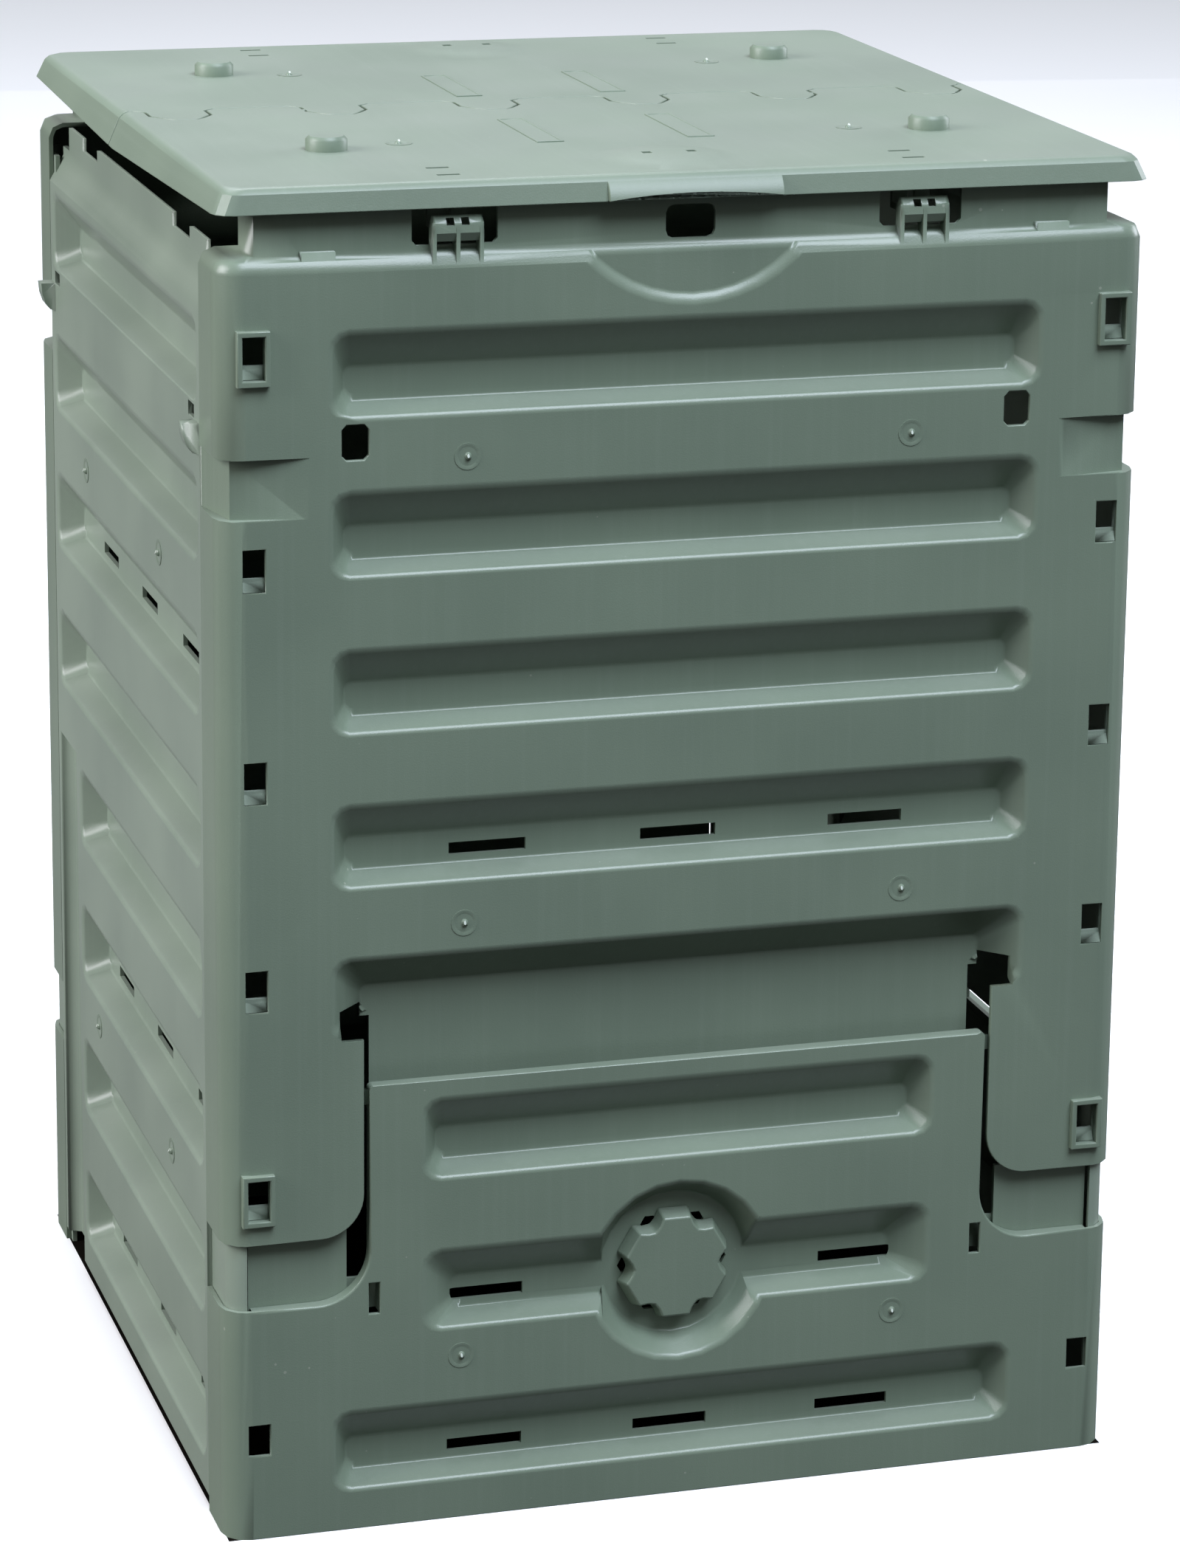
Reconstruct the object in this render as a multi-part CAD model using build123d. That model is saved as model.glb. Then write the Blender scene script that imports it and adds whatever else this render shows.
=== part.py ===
from build123d import *
import os
from math import acos, asin, cos, degrees, hypot, radians, sin

os.makedirs("parts", exist_ok=True)

# Overall size of the bin, every length in millimetres
bin_width = 600.0
bin_depth = 600.0
lid_top = 871.0
wall = 3.0

# Clearances between mouldings
lap_gap = 0.4
edge_gap = 0.6
pin_gap = 0.05
cut_over = 1.0

# Turns in degrees, and the flat steps that stand for rounds
full_turn = 360.0
half_turn = full_turn / 2
quarter_turn = full_turn / 4
seen_steps = 3
hidden_steps = 0
corner_steps = 3
shoulder_steps = 2
side_steps = 2
small_steps = 1
round_steps = 8

# Wrapped corners and the shoulder under the lid
corner_radius = 18.0
return_depth = 52.0
shoulder_drop = 43.0
shoulder_radius = 10.0
collar_set_back = 10.0
collar_inset = 25.0
collar_top_gap = 0.4
collar_turn = 42.0

# Horizontal grooves pressed into every wall
groove_drop = 90.0
groove_height = 52.0
groove_depth = 18.0
groove_slope_top = 24.0
groove_slope_bottom = 11.0
groove_slope_end = 22.0
groove_open_radius = 11.0
groove_floor_radius = 5.0
front_groove_count = 5
front_groove_inset = 71.0
vent_length = 50.0
vent_height = 8.0
front_vent_pitch = 125.5

# Snap windows and the small holes near the corners of the front wall
window_count = 5
window_half_x = 7.0
window_half_z = 13.5
window_inset = 22.0
window_drop = 60.0
window_rise = 30.5
window_shift = 2.5
frame_rim = 3.5
frame_proud = 4.0
square_hole_inset = 85.5
square_hole_drop = 68.0
square_hole_size = 17.0
square_hole_height = 22.0
square_hole_corner = 3.0
notch_drop = 76.0
notch_height = 38.0
notch_depth = 9.0
notch_reach = 57.0

# Finger recess below the lid handle
recess_radius = 95.0
recess_drop = 37.0
recess_depth = 3.5
recess_run = 4.5
recess_steps = 12

# Pocket behind the top of the flap, with its hanging plate and the legs beside it
pocket_rise = 84.0
pocket_clearance = 1.5
leg_inset = 90.5
leg_radius = 28.0
leg_clearance = 2.5
plate_inset = 99.0
plate_overlap = 74.0
keyhole_inner_inset = 93.0
keyhole_outer_inset = 76.0
keyhole_rise = 31.0
keyhole_height = 18.0
tongue_inner_inset = 81.0
tongue_outer_inset = 17.0
tongue_overlap = 39.0
tongue_set_back = 9.0

# Clips that carry the lid
clip_width = 32.0
clip_axis_depth = 11.0
clip_axis_drop = 30.0
clip_radius = 10.0
clip_shell = 2.4
clip_rib = 2.4
clip_upper_angle = 60.0
clip_lower_angle = 45.0
clip_window_x = 5.0
clip_window_z = 4.5
clip_window_spread = 4.7
clip_window_drop = 3.7
clip_pocket_half = 27.0
clip_pocket_rise = 3.0
clip_pocket_corner = 3.0
collar_hole_half = 16.0
collar_hole_rise = 1.0
collar_hole_height = 21.0
collar_hole_corner = 5.0
ledge_tab_inner_inset = 74.0
ledge_tab_outer_inset = 53.0
ledge_tab_rise = 2.5

# Lifting flap
flap_shoulder = 155.0
flap_top = 299.0
flap_tab_inset = 94.0
flap_radius = 34.0
flap_lift = 42.0
hem = 3.0
hem_depth = 8.6
flap_groove_drop = 13.0
flap_groove_inset = 130.0
flap_low_groove = 80.0
flap_window_z = 67.5
flap_window_half_z = 10.5
flap_slot_inner_inset = 100.5
flap_slot_outer_inset = 93.5
flap_slot_drop = 9.0
flap_slot_height = 21.0
hook_reach = 11.0
hook_height = 10.0
lower_hook_inset = 72.0

# Vent dial in its dish
dish_open_radius = 60.0
dish_floor_radius = 48.5
dish_steps = 24
dial_height = 12.0
dial_lobes = 6
dial_base_radius = 39.0
dial_face_radius = 35.0
dial_flank_share = 0.87
dial_notch_share = 0.815
dial_lobe_half_angle = 15.0
dial_flank_half_angle = 22.0
dial_groove_rise = 29.0
dial_skin = 2.5
air_hole_radius = 6.0
air_hole_circle = 31.0
air_hole_steps = 6
hub_radius = 7.0
hub_snap_radius = 9.0
hub_snap_length = 3.0
hub_slot = 2.0

# Side wall
side_foot_gap = 9.5
side_shoulder_drop = 40.0
side_shoulder_rise = 18.0
side_collar_height = 22.0
side_collar_inset = 75.0
side_notch_half = 27.0
side_notch_depth = 9.0
side_upper_inset = 62.0
side_lower_inset = 132.0
side_upper_count = 4
side_groove_count = 8
side_groove_slope_end = 16.0
side_low_groove = 84.5
side_vent_grooves = (2, 5, 7)
side_vent_pitch = 132.0
band_inner_inset = 120.0
band_outer_inset = 60.0
band_rise = 8.0
band_depth = 9.0
flange_turn_inset = 15.5
tab_inset = 38.0
tab_height = 8.0
lug_height = 6.0
lug_proud = 2.4
coupling_inner_inset = 68.0
coupling_outer_inset = 55.0
coupling_reach = 10.0
coupling_drop = 63.0
coupling_height = 20.0
coupling_steps = 4
coupling_slot_inset = 85.0
coupling_slot_height = 9.0

# Lid
lid_overhang = 1.0
lid_rim_height = 16.0
lid_rim_sag = 6.0
lid_side_run = 7.0
lid_front_run = 4.0
lid_edge = 4.5
lid_edge_height = 4.0
lid_corner = 13.0
bump_inset_x = 100.0
bump_inset_y = 135.0
bump_radius = 13.5
bump_height = 9.0
bump_round = 2.5
bump_steps = 14
plate_size_x = 18.0
plate_size_y = 96.0
plate_border = 2.0
plate_proud = 0.8
plate_sunk = 0.5
plate_spread = 50.0
plate_shift = -5.0
rear_plate_y = 78.0
front_plate_y = -120.0

# Handle: a low dome on the top and a rounded hood hanging in front of the rim
handle_half = 56.0
handle_inset = 57.0
handle_proud = 4.0
brow_radius = 18.5
brow_steps = 6
brow_rise = 0.3
dome_radius = 51.0
dome_rise = 4.8
dome_sides = 16
dome_steps = 3
hollow_sides = 8
handle_arch = 3.5
handle_lip_rise = 0.5
handle_hole_x = 14.5
handle_hole = 6.0

# Slots above the clips and the arms that hang in the clips
slot_length = 14.5
slot_width = 4.0
slot_insets = (52.0, 25.5)
arm_spread = 7.5
arm_width = 10.0
arm_nose_radius = 3.0
arm_thickness = 4.0
arm_leg_start = 17.0
arm_leg_end = 20.5

# Folding hinge between the lid halves
hinge_tongue_count = 6
hinge_tongue_inset = 40.0
hinge_line = 14.0
hinge_gap = 2.0
tongue_reach = 28.0
tongue_straight = 10.0
tongue_half = 21.0
tongue_tip_half = 9.0
tongue_tip_round = 5.0
tongue_root_round = 6.0
peg_radius = 1.6
peg_end = 29.0
peg_drop = 1.8
barrel_radius = 3.2
barrel_start = 8.0
barrel_end = 18.0
boss_start = 23.0
boss_end = 31.0

# Places across the bin, worked out from its width and depth
half_width = bin_width / 2
half_depth = bin_depth / 2
front_face = -half_depth
side_face = -half_width
collar_half = half_width - collar_inset
front_groove_half = half_width - front_groove_inset
window_x = half_width - window_inset
square_hole_x = half_width - square_hole_inset
leg_inner = half_width - leg_inset
plate_half = half_width - plate_inset
keyhole_inner = half_width - keyhole_inner_inset
keyhole_outer = half_width - keyhole_outer_inset
tongue_inner = half_width - tongue_inner_inset
tongue_outer = half_width - tongue_outer_inset
clip_x = half_width / 2
ledge_tab_inner = half_width - ledge_tab_inner_inset
ledge_tab_outer = half_width - ledge_tab_outer_inset
flap_tab_half = half_width - flap_tab_inset
flap_groove_half = half_width - flap_groove_inset
flap_slot_inner = half_width - flap_slot_inner_inset
flap_slot_outer = half_width - flap_slot_outer_inset
lower_hook_outer = half_width - lower_hook_inset
flange_turn = half_width - flange_turn_inset
tab_reach = half_width - tab_inset
side_collar_half = half_depth - side_collar_inset
side_notch_x = half_depth / 2
side_upper_half = half_depth - side_upper_inset
side_lower_far = half_depth - side_lower_inset
band_inner = half_depth - band_inner_inset
band_outer = half_depth - band_outer_inset
coupling_inner = half_depth - coupling_inner_inset
coupling_outer = half_depth - coupling_outer_inset
coupling_slot_inner = half_depth - coupling_slot_inset
bump_x = half_width - bump_inset_x
bump_y = half_depth - bump_inset_y
handle_y = half_depth - handle_inset
hinge_tongue_far = half_width - hinge_tongue_inset
hinge_tongue_pitch = 2 * hinge_tongue_far / (hinge_tongue_count - 1)
hinge_tongues = [index * hinge_tongue_pitch - hinge_tongue_far for index in range(hinge_tongue_count)]
peg_tongues = (hinge_tongues[1], hinge_tongues[-2])
plate_places = ((plate_shift - plate_spread, rear_plate_y), (plate_shift + plate_spread, rear_plate_y),
                (plate_shift - plate_spread, front_plate_y), (plate_shift + plate_spread, front_plate_y))

# Heights, worked down from the lid and up from the flap
shoulder_top = lid_top - shoulder_drop
collar_top = lid_top - wall - collar_top_gap
groove_top = lid_top - groove_drop
leg_bottom = flap_shoulder + flap_lift + leg_clearance
pocket_top = flap_top + pocket_rise
groove_pitch = (groove_top - pocket_top) / (front_groove_count - 1)
side_pitch = (groove_top - side_low_groove) / (side_groove_count - 1)
window_top = shoulder_top - window_drop
window_low = leg_bottom + window_rise
window_pitch = (window_top - window_low) / (window_count - 1)
middle_windows = [window_top - index * window_pitch + window_shift for index in range(1, window_count - 1)]
framed_windows = [window_top, window_low]
window_heights = framed_windows + middle_windows
square_hole_z = groove_top - square_hole_drop
notch_top = groove_top - notch_drop
notch_bottom = notch_top - notch_height
plate_bottom = flap_top - plate_overlap
keyhole_bottom = flap_top + keyhole_rise
keyhole_top = keyhole_bottom + keyhole_height
tongue_bottom = flap_shoulder - tongue_overlap
clip_axis_z = lid_top - clip_axis_drop
clip_axis_y = front_face + clip_axis_depth
clip_pocket_bottom = shoulder_top + clip_pocket_rise
collar_hole_bottom = shoulder_top + collar_hole_rise
ledge_tab_top = shoulder_top + ledge_tab_rise
dial_z = flap_shoulder
flap_grooves = (flap_top - flap_groove_drop, dial_z + dial_groove_rise, flap_low_groove)
flap_slot_bottom = flap_shoulder - flap_slot_drop
flap_slot_top = flap_slot_bottom + flap_slot_height
side_shoulder_low = shoulder_top - side_shoulder_drop
side_shoulder_high = side_shoulder_low + side_shoulder_rise
side_collar_top = side_shoulder_high + side_collar_height
side_notch_bottom = side_collar_top - side_notch_depth
flange_top = side_shoulder_high
band_top = groove_top - side_upper_count * side_pitch + band_rise
coupling_top = groove_top - coupling_drop
coupling_bottom = coupling_top - coupling_height
coupling_slot_top = coupling_top + coupling_slot_height
lid_rim_bottom = lid_top - lid_rim_height
handle_lip = lid_rim_bottom + handle_lip_rise
pocket_depth = groove_depth + wall + pocket_clearance
hinge_axis_z = lid_top - peg_drop
floor_drop = groove_height - groove_slope_bottom


def block(x0, x1, y0, y1, z0, z1):
    middle = Pos((x0 + x1) / 2, (y0 + y1) / 2, (z0 + z1) / 2)
    return middle * Box(x1 - x0, y1 - y0, z1 - z0)


def pair(solid):
    return solid + mirror(solid, about=Plane.YZ)


def plan_prism(points, z0, z1):
    face = make_face(Polyline(*points, close=True))
    return Pos(0, 0, z0) * extrude(face, amount=z1 - z0, dir=(0, 0, 1))


def side_prism(face, x0, x1):
    return Pos(x0, 0, 0) * extrude(Plane.YZ * face, amount=x1 - x0, dir=(1, 0, 0))


def upright_plane(x, y, z):
    return Plane(origin=(x, y, z), x_dir=(1, 0, 0), z_dir=(0, -1, 0))


def upright_prism(sketch, y0, y1):
    return extrude(upright_plane(0, y0, 0) * sketch, amount=y1 - y0, dir=(0, 1, 0))


def upright_rod(radius, x, z, y0, y1):
    return upright_prism(Pos(x, z) * Circle(radius), y0, y1)


def cross_rod(radius, x0, x1, y, z):
    return side_prism(Pos(y, z) * Circle(radius), x0, x1)


def cross_bar(radius, x0, x1, y, z):
    return side_prism(Pos(y, z) * RegularPolygon(radius, round_steps), x0, x1)


# Points along an arc, in a few flat steps
def arc_points(x, y, radius, start, end, steps):
    turns = [radians(start + (end - start) * step / steps) for step in range(steps + 1)]
    return [(x + radius * cos(turn), y + radius * sin(turn)) for turn in turns]


# Outline of a rectangle whose corners are rounded in flat steps
def softened(half_x, half_y, radius, steps):
    corners = ((1, 1), (-1, 1), (-1, -1), (1, -1))
    if not steps:
        return [(sx * half_x, sy * half_y) for sx, sy in corners]
    points = []
    for index, (sx, sy) in enumerate(corners):
        points += arc_points(sx * (half_x - radius), sy * (half_y - radius), radius,
                             quarter_turn * index, quarter_turn * (index + 1), steps)
    return points


# A solid through outlines that have the same number of points
def stack(outlines):
    faces = [Face(Wire.make_polygon(outlines[0])), Face(Wire.make_polygon(outlines[-1]))]
    for lower, upper in zip(outlines, outlines[1:]):
        for index in range(len(lower)):
            after = (index + 1) % len(lower)
            corners = [lower[index], lower[after], upper[after], upper[index]]
            faces.append(Face(Wire.make_polygon(corners)))
    return Part() + Solid(Shell(faces))


# An upright opening with softened corners, standing on its lower edge
def upright_hole(x, bottom, width, height, radius, steps, y0, y1):
    outline = softened(width / 2, height / 2, radius, steps)
    middle = bottom + height / 2
    return stack([[(x + across, y, middle + up) for across, up in outline] for y in (y0, y1)])


# A formed groove: the backing follows the cutter at one wall thickness
def groove(face, x_mid, half_length, z_top, z_bottom, depth, slope_end=groove_slope_end, steps=seen_steps):
    run_top = groove_slope_top
    run_bottom = groove_slope_bottom
    run_end = slope_end

    def skin(run):
        return wall * (hypot(1, run / depth) - run / depth)

    def section(at, place, grow, radius, count):
        share = at / depth
        top = z_top - run_top * share + grow[0]
        bottom = z_bottom + run_bottom * share - grow[1]
        half = half_length - run_end * share + grow[2]
        middle = (top + bottom) / 2
        outline = softened(half, (top - bottom) / 2, radius, count)
        return [(x_mid + x, face + place, middle + z) for x, z in outline]

    none = (0, 0, 0)
    skins = (skin(run_top), skin(run_bottom), skin(run_end))
    cutter = stack([section(-cut_over, -cut_over, none, groove_open_radius, steps),
                    section(depth, depth, none, groove_floor_radius, steps)])
    backing = stack([section(-wall / 2, wall / 2, skins, groove_open_radius, hidden_steps),
                     section(depth, depth + wall, skins, groove_floor_radius, hidden_steps)])
    return backing, cutter


# Slots through a groove floor, standing on its lower edge
def vents(face, places, z_top, depth):
    bottom = z_top - floor_drop
    return [block(x - vent_length / 2, x + vent_length / 2, face + depth - cut_over,
                  face + depth + wall + cut_over, bottom, bottom + vent_height) for x in places]


# Wrapped wall: front face with two rounded corners and returns, as a solid of one inset
def wrapped_section(z, inset, reach):
    radius = corner_radius - inset
    middle = half_width - corner_radius
    front = front_face + corner_radius
    points = [(-middle - radius, reach)]
    points += arc_points(-middle, front, radius, half_turn, 3 * quarter_turn, corner_steps)
    points += arc_points(middle, front, radius, 3 * quarter_turn, full_turn, corner_steps)
    points += [(middle + radius, reach)]
    return [(x, y, z) for x, y in points]


def wrapped(z0, z1, inset, shoulder):
    reach = front_face + return_depth + (cut_over if inset else 0)
    straight = z1 - shoulder_radius if shoulder else z1
    outlines = [wrapped_section(z0, inset, reach)]
    if not shoulder:
        return stack(outlines + [wrapped_section(z1, inset, reach)])
    radius = shoulder_radius - inset
    for step in range(shoulder_steps + 1):
        angle = radians(quarter_turn * step / shoulder_steps)
        depth = shoulder_radius - radius * cos(angle)
        outlines.append(wrapped_section(straight + radius * sin(angle), depth, reach))
    return stack(outlines)


def join(solid, additions):
    for item in additions:
        solid = solid + item
    return solid


def cut(solid, removals):
    for item in removals:
        solid = solid - item
    return solid


# Front wall
def make_front_wall():
    outer = wrapped(leg_bottom, shoulder_top, 0, True)
    inner = wrapped(leg_bottom - cut_over, shoulder_top, wall, True)
    collar_front = front_face + collar_set_back
    collar_back = collar_front + wall
    opening_half = collar_half - wall
    body = outer - inner
    body -= block(-opening_half, opening_half, collar_back, 0, shoulder_top - 2 * wall,
                  shoulder_top + cut_over)

    # Collar standing inside the lid, turned back at both ends
    body += block(-collar_half, collar_half, collar_front, collar_back, shoulder_top - wall, collar_top)
    body += pair(block(opening_half, collar_half, collar_front, collar_front + collar_turn,
                       shoulder_top - wall, collar_top))
    pocket_height = 2 * (collar_top - clip_pocket_bottom)
    pocket = upright_hole(clip_x, clip_pocket_bottom, 2 * clip_pocket_half, pocket_height,
                          clip_pocket_corner, small_steps, collar_front - cut_over,
                          collar_back + cut_over)
    collar_hole = upright_hole(0, collar_hole_bottom, 2 * collar_hole_half, collar_hole_height,
                               collar_hole_corner, shoulder_steps, collar_front - cut_over,
                               collar_back + cut_over)
    body = cut(body, [pair(pocket), collar_hole])

    # Grooves, the last one deeper so that the flap can slide up in front of it
    backings = []
    cutters = []
    for index in range(front_groove_count):
        top = groove_top - index * groove_pitch
        depth = pocket_depth if index == front_groove_count - 1 else groove_depth
        backing, cutter = groove(front_face, 0, front_groove_half, top, top - groove_height, depth)
        backings.append(backing)
        cutters.append(cutter)
    vent_top = groove_top - 3 * groove_pitch
    cutters += vents(front_face, (-front_vent_pitch, 0, front_vent_pitch), vent_top, groove_depth)

    # Stepped corners at half height
    corner = (-half_width + notch_depth, front_face + notch_depth)
    near = (-half_width + notch_reach, front_face)
    far = (-half_width, front_face + notch_reach)
    out = 2 * notch_depth
    notch = plan_prism([near, corner, far, (far[0] - out, far[1]), (far[0] - out, near[1] - out),
                        (near[0], near[1] - out)], notch_bottom, notch_top)
    shift = wall
    notch_back = plan_prism([near, (near[0] + shift, near[1] + shift / 2), (near[0], near[1] + wall),
                             (corner[0] + shift, corner[1] + shift), (far[0] + wall, far[1]),
                             (far[0], far[1]), (far[0], near[1])], notch_bottom - wall, notch_top + wall)
    backings.append(pair(notch_back & outer))
    cutters.append(pair(notch))

    # Finger recess below the handle
    recess_z = shoulder_top - recess_drop + recess_radius
    recess_lean = recess_run / recess_depth

    def recess(at0, at1, shift, grow, top):
        outlines = []
        reach = degrees(acos((recess_z - top) / recess_radius))
        for at in (at0, at1):
            radius = recess_radius - recess_lean * at + grow
            arc = arc_points(0, recess_z, radius, 3 * quarter_turn - reach, 3 * quarter_turn + reach,
                             recess_steps)
            outlines.append([(x, front_face + at + shift, z) for x, z in arc])
        return stack(outlines)

    backings.append(recess(-wall / 2, recess_depth, wall, wall, shoulder_top - wall))
    cutters.append(recess(-cut_over, recess_depth, 0, 0, shoulder_top - cut_over))

    # Rims round two of the snap windows, and tabs on the ledge
    for z in framed_windows:
        rim_x = window_half_x + frame_rim
        rim_z = window_half_z + frame_rim
        rim = block(window_x - rim_x, window_x + rim_x, front_face - frame_proud,
                    front_face + corner_radius / 2, z - rim_z, z + rim_z)
        backings.append(pair(rim) - inner)
    tabs = block(ledge_tab_inner, ledge_tab_outer, front_face + wall, collar_front,
                 shoulder_top - shoulder_radius, ledge_tab_top)
    backings.append(pair(tabs) - inner)
    for z in window_heights:
        cutters.append(pair(block(window_x - window_half_x, window_x + window_half_x,
                                  front_face - 2 * frame_proud, front_face + corner_radius,
                                  z - window_half_z, z + window_half_z)))
    hole_low = square_hole_z - square_hole_height / 2
    cutters.append(pair(upright_hole(square_hole_x, hole_low, square_hole_size, square_hole_height,
                                     square_hole_corner, small_steps, front_face - cut_over,
                                     front_face + wall + cut_over)))

    # Gap between the legs, and the legs' rounded inner ends
    gap_top = pocket_top - floor_drop
    gap_bottom = leg_bottom - cut_over
    leg_gap = Pos(0, (gap_top + gap_bottom) / 2) * Rectangle(2 * leg_inner, gap_top - gap_bottom)
    leg_corner = Pos(leg_inner + leg_radius / 2, leg_bottom + leg_radius / 2)
    corner_square = leg_corner * Rectangle(leg_radius, leg_radius)
    leg_round = corner_square - Pos(leg_inner + leg_radius, leg_bottom + leg_radius) * Circle(leg_radius)
    cutters.append(upright_prism(leg_gap, front_face - cut_over, front_face + pocket_depth))
    cutters.append(pair(upright_prism(leg_round, front_face - cut_over, front_face + return_depth)))
    cutters.append(pair(block(keyhole_inner, keyhole_outer, front_face - cut_over,
                              front_face + pocket_depth + 3 * wall, keyhole_bottom, keyhole_top)))
    cutters.append(pair(block(keyhole_inner, keyhole_outer, front_face + wall, front_face + pocket_depth,
                              keyhole_bottom - wall, keyhole_bottom)))
    body = cut(join(body, backings), cutters)

    # Hanging plate behind the flap, and tongues below the legs
    plate_top = gap_top + wall
    body += block(-plate_half, plate_half, front_face + pocket_depth, front_face + pocket_depth + wall,
                  plate_bottom, plate_top)
    tongue_front = front_face + tongue_set_back
    body += pair(block(tongue_inner, tongue_outer, tongue_front, tongue_front + wall, tongue_bottom,
                       leg_bottom + wall))
    web_inner = leg_inner + leg_radius
    body += pair(block(web_inner, tongue_outer, front_face + wall / 2, tongue_front + wall,
                       leg_bottom, leg_bottom + wall))

    # Clips for the lid arms: three ribs under a curved shell
    upper = half_turn - clip_upper_angle
    lower = half_turn + clip_lower_angle
    outside = arc_points(0, 0, clip_radius, upper, lower, corner_steps)
    inside = arc_points(0, 0, clip_radius - clip_shell, lower, upper, corner_steps)
    crown = arc_points(0, 0, clip_radius, upper, half_turn, shoulder_steps)
    foot_low = shoulder_top - shoulder_radius - clip_axis_z
    seat = Pos(clip_axis_y, clip_axis_z)
    shell_face = seat * make_face(Polyline(*(outside + inside), close=True))
    rib_points = [(0, foot_low), (0, 0)] + crown + [(-clip_radius, foot_low)]
    rib_face = seat * make_face(Polyline(*rib_points, close=True))
    clip = side_prism(shell_face, clip_x - clip_width / 2, clip_x + clip_width / 2)
    window_z = clip_axis_z + clip_radius * sin(radians(clip_upper_angle)) - clip_window_drop
    for side in (-1, 1):
        hole_x = clip_x + side * clip_window_spread
        clip -= block(hole_x - clip_window_x / 2, hole_x + clip_window_x / 2, clip_axis_y - clip_radius,
                      clip_axis_y, window_z - clip_window_z / 2, window_z + clip_window_z / 2)
    for place in (-1, 0, 1):
        rib_x = clip_x + place * (clip_width - clip_rib) / 2
        clip += side_prism(rib_face, rib_x - clip_rib / 2, rib_x + clip_rib / 2)
    body += pair(clip - inner)
    return body


# Lifting flap
def make_flap():
    outer = wrapped(0, flap_top, 0, False)
    inner = wrapped(-cut_over, flap_top + cut_over, wall, False)
    base = Pos(0, flap_shoulder / 2) * Rectangle(bin_width, flap_shoulder)
    tab = Pos(0, flap_top / 2) * Rectangle(2 * flap_tab_half, flap_top)
    outline = base + tab
    inside = [v for v in outline.vertices() if abs(abs(v.X) - flap_tab_half) < 0.1 and v.Y < flap_top - 1]
    outline = fillet(inside, flap_radius)
    tops = [v for v in outline.vertices() if v.Y > flap_top - 0.1]
    outline = fillet(tops, hem)
    body = (outer - inner) & upright_prism(outline, front_face - cut_over, front_face + return_depth)

    # Turned-in hem along the upper outline
    band = outline - offset(outline, -hem)
    band_low = flap_shoulder - hem
    flat_width = 2 * (half_width - corner_radius)
    band = band & (Pos(0, (band_low + flap_top) / 2) * Rectangle(flat_width, flap_top - band_low))
    body += upright_prism(band, front_face, front_face + hem_depth)

    # Grooves, vents and the dish of the dial
    halves = (flap_groove_half, flap_groove_half, front_groove_half)
    vent_places = ((), (-front_vent_pitch, front_vent_pitch), (-front_vent_pitch, 0, front_vent_pitch))
    backings = []
    cutters = []
    for top, half, places in zip(flap_grooves, halves, vent_places):
        backing, cutter = groove(front_face, 0, half, top, top - groove_height, groove_depth)
        backings.append(backing)
        cutters.append(cutter)
        cutters += vents(front_face, places, top, groove_depth)
    lean = (dish_open_radius - dish_floor_radius) / groove_depth
    skin = wall * (hypot(1, lean) - lean)

    def dish(at0, at1, shift, grow):
        outlines = []
        for at in (at0, at1):
            ring = arc_points(0, dial_z, dish_open_radius - lean * at + grow, 0, full_turn, dish_steps)[:-1]
            outlines.append([(x, front_face + at + shift, z) for x, z in ring])
        return stack(outlines)

    backings.append(dish(-wall / 2, groove_depth, wall, skin))
    cutters.append(dish(-cut_over, groove_depth, 0, 0))
    floor = front_face + groove_depth
    cutters.append(upright_rod(hub_radius + pin_gap, 0, dial_z, floor - cut_over, floor + wall + cut_over))
    for index in range(dial_lobes):
        angle = radians(index * full_turn / dial_lobes)
        middle = Pos(air_hole_circle * cos(angle), dial_z + air_hole_circle * sin(angle))
        cutters.append(upright_prism(middle * RegularPolygon(air_hole_radius, air_hole_steps),
                                     floor - cut_over, floor + wall + cut_over))
    cutters.append(pair(block(window_x - window_half_x, window_x + window_half_x, front_face - cut_over,
                              front_face + corner_radius, flap_window_z - flap_window_half_z,
                              flap_window_z + flap_window_half_z)))
    cutters.append(pair(block(flap_slot_inner, flap_slot_outer, front_face - cut_over,
                              front_face + wall + cut_over, flap_slot_bottom, flap_slot_top)))
    body = cut(join(body, backings), cutters)

    # Hooks behind the legs and behind the tongues
    lip_front = front_face + wall + lap_gap
    body += pair(block(flap_tab_half - hem / 2, flap_tab_half + hook_reach, lip_front, lip_front + wall,
                       flap_top - hem - hook_height, flap_top - hem))
    low_front = front_face + tongue_set_back + wall + lap_gap
    arm_x = flap_slot_inner - wall
    body += pair(block(arm_x, flap_slot_inner, front_face + wall / 2, low_front + wall, flap_slot_bottom,
                       flap_slot_top))
    body += pair(block(arm_x, lower_hook_outer, low_front, low_front + wall, flap_slot_bottom,
                       flap_slot_top))
    return body


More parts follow.
